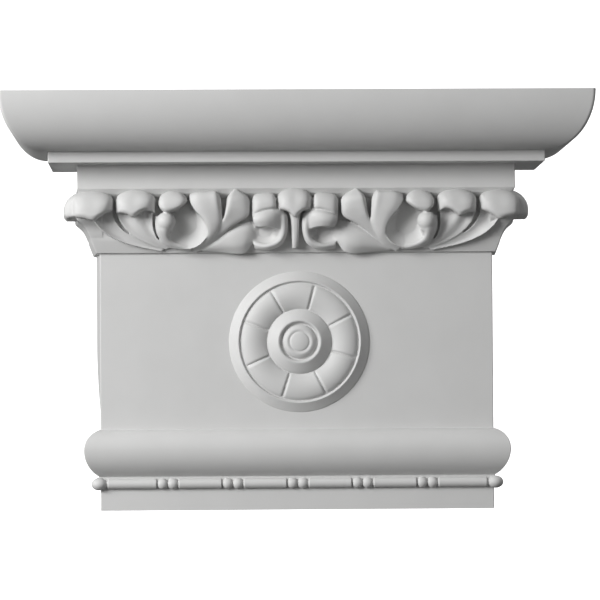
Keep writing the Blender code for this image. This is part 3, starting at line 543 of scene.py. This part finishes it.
def bowl(centre, radii, rim_rows, floor, deepest=(0.0, 0.0)):
    """A hollow with a rim: centre (a, up), radii, (degrees, rim projection) rows, floor and floor's shift."""
    degrees, levels = zip(*rim_rows)
    front, behind = [], []
    for t in np.linspace(BOWL_PINHOLE, 1.0, BOWL_RINGS):
        line, rear = [], []
        for i in range(BOWL_SIDES + 1):
            turn = 360 * i / BOWL_SIDES
            rim = float(np.interp(turn, degrees, levels))
            a = centre[0] + deepest[0] * (1 - t) + t * radii[0] * math.cos(math.radians(turn))
            up = centre[1] + deepest[1] * (1 - t) + t * radii[1] * math.sin(math.radians(turn))
            line.append((a, -(floor + (rim - floor) * t ** BOWL_FLATNESS), up))
            rear.append((a, -SUNK, up))
        front.append(line)
        behind.append(rear)
    bm = closed_grid(front, behind)
    bmesh.ops.remove_doubles(bm, verts=bm.verts, dist=BOWL_MERGE)
    return bm


def corner_heads():
    """The two curled heads of the big leaf beside the volute."""
    first_head = head([(129.2, 31.0), (127.2, 33.2), (122.6, 34.9), (117.0, 35.4), (111.4, 34.8),
                       (107.2, 33.0), (105.7, 30.6)],
                      [(129.2, 21.6), (126.6, 20.4), (121.8, 19.6), (117.2, 18.4), (113.8, 20.4),
                       (109.8, 22.8), (105.7, 24.2)], 20.6, 8.0)
    second_head = head([(104.3, 30.4), (102.4, 33.4), (98.0, 35.4), (93.0, 36.2), (87.2, 35.4), (83.0, 33.4),
                        (81.3, 30.8)],
                       [(104.0, 22.6), (100.6, 22.8), (97.2, 21.8), (94.0, 20.5), (90.2, 23.2), (86.0, 24.5),
                        (81.5, 22.6)], 20.2)
    return [first_head, second_head]


def corner_blades():
    """The two hollow blades under the big leaf's heads, which part in a slit and run into one stem."""
    ridge = [(118.6, 13.2, 21.2), (115.4, 12.8, 16.6), (112.0, 11.6, 12.8), (107.4, 10.0, 9.4),
             (100.0, 8.2, 6.0), (90.0, 6.2, 3.2), (78.0, 4.6, 0.8)]
    first = sheet([ridge,
                   [(115.6, 10.4, 23.0), (112.6, 10.0, 17.8), (109.0, 9.1, 13.8), (104.6, 7.9, 10.4),
                    (97.8, 6.8, 7.0), (88.6, 5.6, 4.0), (77.4, 4.4, 1.6)],
                   [(111.6, 9.2, 24.6), (109.4, 9.0, 19.4), (106.4, 8.4, 15.4), (102.3, 7.7, 12.0),
                    (95.6, 7.0, 8.2), (87.0, 5.9, 4.8), (76.6, 4.6, 2.2)],
                   [(106.5, 10.0, 25.0), (105.5, 9.9, 20.4), (103.3, 9.5, 16.6), (99.8, 8.8, 12.8),
                    (93.2, 7.6, 8.8), (85.4, 6.2, 5.2), (76.0, 4.7, 2.6)]])
    second = sheet([[(103.7, 10.2, 25.0), (102.7, 10.1, 19.8), (100.4, 9.8, 15.8), (97.0, 9.2, 12.0),
                     (91.0, 8.0, 7.8), (83.6, 6.4, 4.4), (75.0, 4.8, 2.0)],
                    [(99.4, 9.0, 25.0), (98.4, 9.2, 19.6), (96.0, 9.3, 15.6), (92.8, 8.8, 12.0),
                     (88.0, 7.7, 8.2), (82.1, 6.3, 5.0), (74.6, 4.8, 2.4)],
                    [(94.2, 11.4, 23.0), (92.9, 11.2, 19.0), (90.8, 10.6, 15.8), (88.4, 9.7, 12.4),
                     (85.0, 8.3, 8.6), (80.2, 6.8, 5.2), (73.8, 5.0, 2.6)],
                    [(88.0, 9.4, 26.0), (87.4, 9.6, 20.6), (86.3, 9.4, 16.4), (84.8, 8.9, 12.6),
                     (82.0, 7.8, 8.8), (78.4, 6.5, 5.4), (72.6, 5.0, 2.8)],
                    [(82.9, 11.2, 24.6), (83.1, 11.0, 19.4), (82.9, 10.5, 15.2), (81.9, 9.6, 11.2),
                     (79.8, 8.4, 7.4), (75.9, 6.9, 4.4), (70.0, 5.2, 2.0)]])
    return [first, second]


def volute():
    """The open scroll: a bowl, the eye that curls up in it, and its wall round below."""
    hollow = bowl((63.4, 13.6), (12.6, 11.6), [(0, 9.6), (45, 6.4), (90, 5.4), (120, 7.6), (150, 12.6),
                                               (180, 14.0), (225, 11.2), (270, 8.2), (315, 8.6), (360, 9.6)],
                  4.6, (-1.4, 3.6))
    wall = sheet([[(81.2, 10.6, 21.4), (81.6, 11.4, 17.6), (81.3, 11.4, 13.6), (80.1, 10.4, 9.7),
                   (77.3, 9.2, 6.0), (72.7, 8.0, 3.4), (66.8, 6.9, 1.7), (60.8, 6.2, 1.4)],
                  [(79.8, 12.6, 20.8), (80.1, 14.6, 17.4), (79.8, 15.0, 13.5), (78.5, 13.7, 10.0),
                   (76.0, 11.7, 6.8), (71.9, 9.7, 4.5), (66.6, 8.4, 3.0), (61.2, 7.6, 2.8)],
                  [(76.4, 12.8, 19.0), (76.2, 16.4, 15.8), (75.8, 16.9, 13.2), (75.3, 15.2, 10.5),
                   (74.0, 12.4, 7.8), (71.0, 9.9, 5.6), (66.3, 8.4, 4.1), (61.4, 7.5, 3.8)],
                  [(74.4, 10.6, 17.6), (72.3, 13.6, 14.8), (71.7, 14.4, 12.6), (72.8, 12.2, 10.5),
                   (73.1, 9.8, 8.2), (70.4, 8.2, 6.4), (66.0, 7.4, 4.9), (61.6, 6.8, 4.6)]])
    eye = egg((75.3, 12.6, 17.6), (5.6, 6.6, 5.6))
    return [hollow, wall, eye]


def volute_head():
    """The rolled top of the scroll."""
    return head([(79.9, 29.4), (78.0, 33.0), (74.6, 34.9), (71.0, 35.4), (67.0, 34.8), (64.0, 32.6),
                 (62.8, 29.8)],
                [(79.8, 27.6), (78.2, 24.8), (75.6, 23.2), (72.6, 23.4), (68.8, 24.8), (65.4, 27.0),
                 (62.8, 29.2)], 19.2)


def corner_cove(inner, fade):
    """The plain cove under the outer heads, from the mitre inward. With fade 1 it ends in the bell."""
    ups, outs = zip(*[(up, out) for out, up in BELL])
    along_mitre = [(DRAWN_HALF_WIDTH + out, out, up) for out, up in CORNER_COVE]
    levels = [float(np.interp(up, ups, outs)) for out, up in CORNER_COVE]
    at_inner = [(inner, out + (level - COVE_SUNK - out) * fade, up)
                for (out, up), level in zip(CORNER_COVE, levels)]
    middle = [((a + inner) / 2, out + (level - out) * COVE_HALF_FADE * fade, up)
              for (a, out, up), level in zip(along_mitre, levels)]
    return sheet([along_mitre, middle, at_inner])


def fan_leaf():
    """The leaf between volute and hook: a wide bract, a pointed bract, and the low blade under them."""
    wide = sheet([[(61.6, 10.6, 33.4), (61.6, 13.8, 32.0), (61.2, 15.6, 28.8), (58.6, 16.0, 24.2),
                   (54.6, 15.6, 19.6), (52.0, 14.6, 14.6), (51.8, 12.6, 9.8), (55.0, 9.4, 5.9),
                   (60.4, 6.8, 3.2)],
                  [(57.2, 11.0, 35.0), (57.2, 15.6, 33.8), (56.8, 17.2, 30.2), (54.8, 17.4, 25.4),
                   (51.8, 16.6, 20.6), (49.6, 15.2, 15.2), (49.6, 12.8, 9.8), (53.6, 9.0, 5.2),
                   (60.0, 6.2, 2.4)],
                  [(50.8, 11.0, 35.3), (50.6, 15.8, 34.2), (50.2, 17.4, 31.0), (48.8, 17.4, 26.0),
                   (46.9, 16.4, 20.8), (45.9, 14.6, 15.4), (47.5, 11.7, 9.6), (52.6, 8.0, 4.6),
                   (59.6, 5.6, 1.8)],
                  [(46.8, 11.0, 35.4), (46.6, 15.8, 34.4), (46.2, 17.4, 31.2), (45.6, 17.2, 26.4),
                   (44.5, 15.8, 21.2), (43.8, 13.6, 16.0), (46.6, 10.5, 9.6), (51.8, 7.2, 4.2),
                   (59.2, 5.0, 1.4)],
                  [(45.8, 10.4, 35.0), (44.9, 12.6, 33.8), (43.7, 14.2, 30.8), (43.3, 14.6, 26.2),
                   (43.0, 14.0, 21.2), (43.0, 12.4, 16.2), (46.2, 9.8, 9.4), (51.4, 6.8, 4.0),
                   (59.0, 4.8, 1.2)]])
    pointed = sheet([[(35.8, 10.4, 36.6), (39.6, 13.4, 32.0), (40.5, 14.6, 27.0), (41.4, 14.2, 22.0),
                      (43.0, 12.6, 17.6), (47.4, 10.0, 11.0), (52.6, 7.0, 5.0), (58.8, 4.8, 1.2)],
                     [(35.3, 12.0, 36.8), (38.2, 16.8, 32.0), (39.0, 17.2, 27.0), (40.2, 16.0, 21.8),
                      (42.6, 13.6, 17.2), (46.8, 10.7, 10.6), (52.2, 7.4, 4.8), (58.6, 4.9, 1.0)],
                     [(34.9, 12.0, 36.9), (34.6, 17.0, 31.4), (34.6, 16.8, 26.0), (36.4, 15.2, 21.0),
                      (40.2, 13.2, 16.4), (45.8, 10.4, 10.4), (51.8, 7.2, 4.4), (58.4, 4.7, 0.8)],
                     [(34.5, 12.0, 36.7), (30.6, 15.8, 31.4), (29.8, 15.8, 25.8), (31.0, 14.2, 20.6),
                      (38.0, 12.6, 15.8), (44.8, 9.8, 9.8), (51.2, 6.6, 4.0), (58.2, 4.5, 0.6)],
                     [(34.1, 10.4, 36.4), (27.8, 13.4, 31.6), (27.2, 13.8, 25.8), (28.4, 12.8, 20.4),
                      (36.8, 11.4, 15.2), (44.2, 8.8, 9.2), (50.8, 6.0, 3.6), (58.0, 4.2, 0.4)]])
    low = sheet([[(55.0, 4.8, 2.8), (49.2, 6.0, 6.2), (42.8, 7.3, 10.8), (36.8, 8.0, 14.6), (31.4, 7.8, 17.2),
                  (27.6, 7.0, 18.4), (24.2, 5.8, 17.6)],
                 [(54.8, 5.2, 2.3), (49.0, 7.0, 5.0), (42.6, 8.8, 8.8), (36.6, 9.6, 11.9), (31.0, 9.3, 14.2),
                  (27.0, 8.3, 15.0), (23.6, 6.2, 14.2)],
                 [(54.6, 5.2, 1.7), (48.6, 7.2, 3.6), (42.0, 9.0, 6.2), (36.0, 10.0, 8.2), (30.6, 9.8, 9.8),
                  (26.6, 8.4, 10.6), (23.2, 6.0, 10.4)],
                 [(54.4, 4.8, 1.2), (48.2, 6.2, 2.1), (41.4, 7.8, 3.0), (35.6, 8.9, 3.4), (30.6, 8.9, 4.2),
                  (26.8, 7.8, 6.2), (23.6, 6.2, 7.6)],
                 [(54.2, 4.0, 0.8), (48.0, 4.0, 0.6), (41.0, 4.4, -0.2), (35.4, 5.2, -0.8), (31.2, 5.6, -0.6),
                  (28.2, 5.8, 1.0), (25.6, 6.0, 4.8)]])
    return [wide, pointed, low]


def hook_leaf():
    """The small hooked leaf beside the centre: a curled lobe over a roll that wraps a cup."""
    lobe = head([(25.7, 30.0), (24.2, 32.9), (20.6, 34.0), (16.8, 34.3), (13.2, 33.6), (11.7, 31.0)],
                [(25.5, 20.8), (22.6, 22.4), (19.2, 23.6), (15.6, 24.4), (13.2, 24.7), (11.3, 24.9)],
                17.6, 11.0)
    roll = sheet([[(25.2, 13.2, 20.8), (22.6, 14.6, 22.6), (18.2, 15.2, 24.0), (13.2, 14.8, 24.8),
                   (8.8, 13.0, 24.2), (5.4, 11.2, 22.0)],
                  [(25.3, 15.8, 19.4), (22.4, 17.9, 20.6), (18.0, 18.6, 21.6), (13.4, 17.8, 21.8),
                   (9.4, 15.4, 21.2), (6.2, 12.6, 19.6)],
                  [(24.8, 16.2, 17.2), (21.8, 18.4, 17.6), (17.8, 19.0, 18.0), (13.8, 17.8, 17.8),
                   (10.4, 15.6, 17.4), (7.4, 13.2, 16.6)],
                  [(23.8, 14.0, 14.6), (21.0, 16.2, 14.3), (17.5, 16.8, 14.4), (14.4, 15.8, 14.2),
                   (11.8, 14.4, 13.6), (9.2, 13.0, 13.0)]])
    wall = sheet([[(9.0, 10.6, 24.0), (5.4, 11.0, 21.6), (4.5, 10.8, 16.0), (5.1, 10.0, 10.4),
                   (7.4, 8.8, 5.4), (12.0, 7.8, 2.4), (18.2, 7.0, 1.4), (24.2, 5.8, 2.2)],
                  [(9.4, 13.4, 23.2), (6.6, 14.2, 20.4), (5.9, 13.7, 15.6), (6.4, 12.6, 10.7),
                   (8.5, 11.6, 6.5), (12.5, 10.6, 3.8), (18.2, 9.8, 2.6), (24.4, 7.6, 3.8)],
                  [(10.6, 14.2, 22.2), (8.6, 14.8, 19.2), (7.8, 14.0, 15.0), (8.1, 12.8, 10.8),
                   (9.8, 11.8, 7.3), (13.2, 10.8, 5.0), (18.2, 9.9, 3.9), (24.6, 7.6, 5.2)],
                  [(11.8, 13.0, 20.8), (10.6, 13.4, 18.0), (9.8, 12.6, 14.4), (10.0, 11.4, 10.8),
                   (11.4, 10.2, 8.2), (14.1, 9.6, 6.0), (18.3, 8.8, 5.0), (24.6, 6.6, 6.6)]])
    cup = bowl((17.4, 9.6), (8.6, 6.8), [(0, 7.6), (60, 6.6), (120, 8.0), (180, 11.4), (225, 10.8),
                                         (270, 9.2), (315, 7.6), (360, 6.8)], 4.8, (-0.6, 1.6))
    return [lobe, roll, wall, cup]


def centre_lobe():
    """The lobe on the middle of the front, with its upright rib."""
    crest = [(11.2, 31.4), (8.8, 34.6), (4.8, 36.4), (0.0, 37.0)]
    lower = [(10.6, 24.8), (7.4, 24.2), (3.6, 22.6), (0.0, 20.0)]
    lobe = head(crest + [(-a, up) for a, up in reversed(crest[:-1])],
                lower + [(-a, up) for a, up in reversed(lower[:-1])], 19.8)
    side = [(4.0, 8.4, 23.5), (3.1, 8.0, 19.5), (2.6, 6.8, 13.0), (2.2, 5.2, 6.0), (1.9, 4.4, 2.2)]
    face = [(2.9, 12.4, 23.5), (2.2, 12.0, 19.0), (1.9, 11.2, 13.0), (1.6, 9.8, 6.0), (1.3, 8.0, 2.2)]
    rib = sheet([side, face, [(-a, out, up) for a, out, up in face], [(-a, out, up) for a, out, up in side]])
    return [lobe, rib]


def on_front(point, hand):
    """A drawn point on the front of the band, in metres."""
    along = point.x * hand
    along -= DRIFT * math.exp(-((along - DRIFT_CENTRE) / DRIFT_REACH) ** 2)
    return Vector((along / DRAWN_HALF_WIDTH * HALF_WIDTH,
                   -HALF_DEPTH + point.y / DRAWN_PROJECTION * LEAF_PROJECTION,
                   BAND_BOTTOM + point.z / DRAWN_BAND_HEIGHT * BAND_HEIGHT))


def on_return(point, hand):
    """The same point on the return beside it: over the mitre, and stopped at the wall."""
    front = on_front(point, 1)
    out, back = -HALF_DEPTH - front.y, HALF_WIDTH - front.x
    aside = spread(front.z) * max(back, 0.0) / BODY_DEPTH
    depth = min(-HALF_DEPTH + back, HALF_DEPTH - WALL_CLEARANCE)
    return Vector((hand * (HALF_WIDTH + out + aside), depth, front.z))


def keep_largest_body(mesh):
    """Drop the crumbs that fusing leaves beside or inside the main body."""
    bm = bmesh.new()
    bm.from_mesh(mesh)
    left, bodies = set(bm.faces), []
    while left:
        frontier = [left.pop()]
        body = set(frontier)
        while frontier:
            near = {other for edge in frontier.pop().edges for other in edge.link_faces} & left
            left -= near
            body |= near
            frontier += near
        bodies.append(body)
    bodies.sort(key=len)
    crumbs = [face for body in bodies[:-1] for face in body]
    bmesh.ops.delete(bm, geom=crumbs, context="FACES")
    bm.to_mesh(mesh)
    bm.free()


def carving():
    """The carved band: each half's leaves on the front, and the outer heads again on the return, fused."""
    bm = bmesh.new()
    for hand in (1, -1):
        runs = [(on_front, corner_heads() + [corner_cove(COVE_INNER, 1.0)] + corner_blades() + volute()
                 + [volute_head()] + fan_leaf() + hook_leaf() + centre_lobe()),
                (on_return, corner_heads() + [volute_head(), corner_cove(COVE_AT_WALL, 0.0)])]
        for place, solids in runs:
            for solid in solids:
                for vert in solid.verts:
                    vert.co = place(vert.co, hand)
                piece = mesh_from(solid, "piece")
                bm.from_mesh(piece)
                bpy.data.meshes.remove(piece)
    mesh = bpy.data.meshes.new("leaves")
    bm.to_mesh(mesh)
    bm.free()
    leaves = add_object("leaves", mesh)
    fuse = leaves.modifiers.new("fuse", "REMESH")
    fuse.mode = "VOXEL"
    fuse.voxel_size = CARVING_VOXEL
    soften = leaves.modifiers.new("soften", "SMOOTH")
    soften.iterations = CARVING_SOFTENING
    apply_modifiers(leaves)
    keep_largest_body(leaves.data)
    lighten = leaves.modifiers.new("lighten", "DECIMATE")
    lighten.ratio = min(1.0, CARVING_TRIANGLES / (2 * len(leaves.data.polygons)))
    return apply_modifiers(leaves)


def primer():
    """The moulder's white primer: a satin coat with faint orange peel, uneven in sheen and tone."""
    material = bpy.data.materials.new("white_primer")
    material.use_nodes = True
    nodes, links = material.node_tree.nodes, material.node_tree.links
    shader = nodes["Principled BSDF"]
    place = nodes.new("ShaderNodeTexCoord")

    def noise(scale, detail):
        texture = nodes.new("ShaderNodeTexNoise")
        texture.inputs["Scale"].default_value = scale
        texture.inputs["Detail"].default_value = detail
        links.new(place.outputs["Object"], texture.inputs["Vector"])
        return texture.outputs["Fac"]

    def spread_over(value, low, high):
        scale = nodes.new("ShaderNodeMapRange")
        scale.inputs["To Min"].default_value = low
        scale.inputs["To Max"].default_value = high
        links.new(value, scale.inputs["Value"])
        return scale.outputs["Result"]

    tone = nodes.new("ShaderNodeMix")
    tone.data_type = "RGBA"
    tone.inputs["A"].default_value = (0.6, 0.6, 0.594, 1.0)
    tone.inputs["B"].default_value = (0.65, 0.65, 0.645, 1.0)
    links.new(noise(45.0, 3.0), tone.inputs["Factor"])
    links.new(tone.outputs["Result"], shader.inputs["Base Color"])
    links.new(spread_over(noise(160.0, 2.0), 0.48, 0.64), shader.inputs["Roughness"])
    shader.inputs["Metallic"].default_value = 0.0
    shader.inputs["Specular IOR Level"].default_value = 0.35
    peel = nodes.new("ShaderNodeBump")
    peel.inputs["Strength"].default_value = 0.35
    peel.inputs["Distance"].default_value = 0.00004
    links.new(noise(900.0, 2.0), peel.inputs["Height"])
    links.new(peel.outputs["Normal"], shader.inputs["Normal"])
    return material


def casting():
    """The whole capital as one closed mesh, in its primer."""
    body = mitred_body(capital_profile())
    bead_and_reel(body)
    join_solids(body, rosette())
    join_solids(body, carving())
    body.data.shade_smooth()
    body.data.set_sharp_from_angle(angle=SHARP_TURN)
    weigh = body.modifiers.new("flat_faces_stay_flat", "WEIGHTED_NORMAL")
    weigh.keep_sharp = True
    apply_modifiers(body)
    body.data.materials.clear()
    body.data.materials.append(primer())
    return body


def camera():
    """The photograph's camera: a long lens a little left of the middle, low, and turned a touch."""
    focal_pixels, frame_width = 3193.0, 600.0
    distance, level, aside = 1.9, 0.0675, -0.0415
    eye_pixel, roll_degrees = (225.0, 393.0), -0.35
    eye = Vector((aside, HALF_DEPTH - distance, level))
    across = (frame_width / 2 - eye_pixel[0]) / focal_pixels * distance
    upward = (eye_pixel[1] - frame_width / 2) / focal_pixels * distance
    target = Vector((aside + across, HALF_DEPTH, level + upward))
    lens = bpy.data.cameras.new("camera")
    lens.sensor_width = 36.0
    lens.lens = lens.sensor_width * focal_pixels / frame_width
    lens.clip_end = 20.0
    thing = bpy.data.objects.new("camera", lens)
    bpy.context.scene.collection.objects.link(thing)
    roll = Quaternion((0.0, 0.0, 1.0), math.radians(roll_degrees))
    thing.location = eye
    thing.rotation_euler = ((target - eye).to_track_quat("-Z", "Y") @ roll).to_euler()
    bpy.context.scene.camera = thing


def area_light(name, place, size, power):
    """A square soft light aimed at the middle of the capital."""
    middle = Vector((0.0, 0.0, 0.12))
    data = bpy.data.lights.new(name, "AREA")
    data.size = size
    data.energy = power
    thing = bpy.data.objects.new(name, data)
    bpy.context.scene.collection.objects.link(thing)
    thing.location = place
    thing.visible_camera = False
    aim = middle - Vector(place)
    thing.rotation_euler = aim.to_track_quat("-Z", "Y").to_euler()


def studio():
    """A pale floor swept up into a pale wall, a soft key from the upper left, a rim, and fill from above."""
    bm = bmesh.new()
    wall, bend, half, top = 1.6, 0.5, 5.0, 5.0
    section = [(-5.0, 0.0)] + [(wall - bend + bend * math.sin(t), bend - bend * math.cos(t))
                               for t in np.radians(np.linspace(0, 90, 13))] + [(wall, top)]
    rows = [[bm.verts.new((x, y, z)) for x in (-half, half)] for y, z in section]
    for low, high in zip(rows, rows[1:]):
        bm.faces.new((low[0], low[1], high[1], high[0]))
    sweep = add_object("studio_sweep", mesh_from(bm, "studio_sweep"))
    sweep.data.shade_smooth()
    paper = bpy.data.materials.new("paper")
    paper.use_nodes = True
    shader = paper.node_tree.nodes["Principled BSDF"]
    shader.inputs["Base Color"].default_value = (0.9, 0.9, 0.9, 1.0)
    shader.inputs["Roughness"].default_value = 0.9
    shader.inputs["Emission Color"].default_value = (1.0, 1.0, 1.0, 1.0)
    shader.inputs["Emission Strength"].default_value = 1.0
    sweep.data.materials.append(paper)
    sweep.visible_diffuse = False
    sweep.visible_glossy = False
    world = bpy.data.worlds.new("studio")
    world.use_nodes = True
    nodes, links = world.node_tree.nodes, world.node_tree.links
    direction = nodes.new("ShaderNodeTexCoord")
    parts = nodes.new("ShaderNodeSeparateXYZ")
    fall = nodes.new("ShaderNodeMapRange")
    fall.inputs["From Min"].default_value = -1.0
    fall.inputs["To Min"].default_value = 0.05
    fall.inputs["To Max"].default_value = 0.38
    links.new(direction.outputs["Generated"], parts.inputs["Vector"])
    links.new(parts.outputs["Z"], fall.inputs["Value"])
    links.new(fall.outputs["Result"], nodes["Background"].inputs["Strength"])
    nodes["Background"].inputs["Color"].default_value = (1.0, 1.0, 1.0, 1.0)
    bpy.context.scene.world = world
    area_light("key", (-1.0, -0.85, 0.5), 0.6, 19.5)
    area_light("rim", (1.0, 1.2, 0.7), 1.0, 6.0)
    bpy.context.scene.view_settings.view_transform = "Standard"


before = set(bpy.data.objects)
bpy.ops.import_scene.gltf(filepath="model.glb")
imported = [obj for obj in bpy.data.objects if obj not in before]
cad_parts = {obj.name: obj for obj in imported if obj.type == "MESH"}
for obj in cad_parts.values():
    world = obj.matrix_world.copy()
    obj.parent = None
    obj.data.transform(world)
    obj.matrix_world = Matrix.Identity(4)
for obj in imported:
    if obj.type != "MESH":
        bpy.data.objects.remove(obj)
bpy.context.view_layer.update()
capital = casting()
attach(capital, "root")
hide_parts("capital")
camera()
studio()
